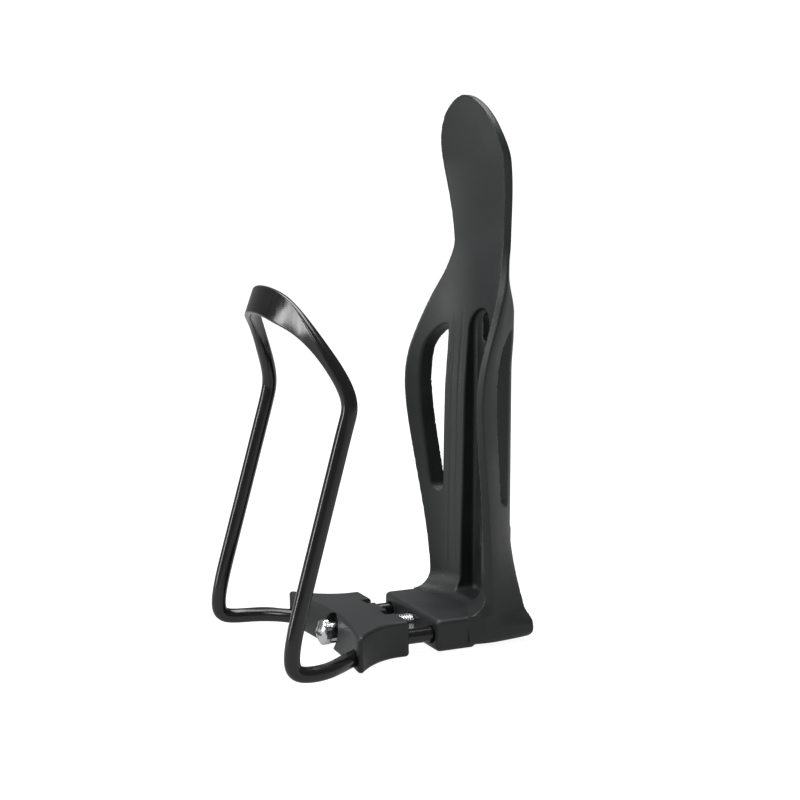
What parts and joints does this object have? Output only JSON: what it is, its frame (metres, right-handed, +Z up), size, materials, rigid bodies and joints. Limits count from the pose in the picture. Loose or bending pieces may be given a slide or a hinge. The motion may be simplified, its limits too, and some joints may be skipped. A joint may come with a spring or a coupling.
{
  "type": "adjustable bicycle water bottle cage",
  "caption": "Moulded cradle with an upright paddle and side windows, a bent rod loop in front, and a sliding block whose long screw sets how far the loop stands out.",
  "frame": {"origin": "on the mounting face, half way between the two frame bolts, in the middle of the cage's width", "axes": "+X across the cage, to the right of someone who looks along +Y; +Y back towards the bicycle frame, along the bolts; +Z up, along the bottle"},
  "size_m": [0.0692, 0.0841, 0.1616],
  "materials": {
    "black_nylon": "moulded black plastic with a fine satin grain",
    "black_rod": "black coated aluminium rod with a smooth gloss",
    "zinc_steel": "bright zinc plated steel",
    "spring_steel": "plain oiled spring steel"
  },
  "bodies": {
    "cradle": {"cradle": "black_nylon", "captive_nut": "zinc_steel"},
    "slider": {"slider": "black_nylon", "rod_loop": "black_rod", "guide_pin_left": "black_rod", "guide_pin_right": "black_rod", "lock_washer": "zinc_steel"},
    "screw": {"adjusting_screw": "zinc_steel", "retaining_clip": "spring_steel"}
  },
  "joints": [
    {"name": "slider_slide", "type": "slide", "parent": "cradle", "child": "slider", "axis": [0, 1, 0], "range_m": [-0.0065, 0.0082]},
    {"name": "screw_turn", "type": "hinge", "parent": "slider", "child": "screw", "pos_m": [0, -0.0566, -0.0559], "axis": [0, 1, 0], "range_deg": [-2926, 3691]}
  ],
  "couplings": [
    {"joint": "screw_turn", "follows": "slider_slide", "rad_per_m": 7854}
  ]
}
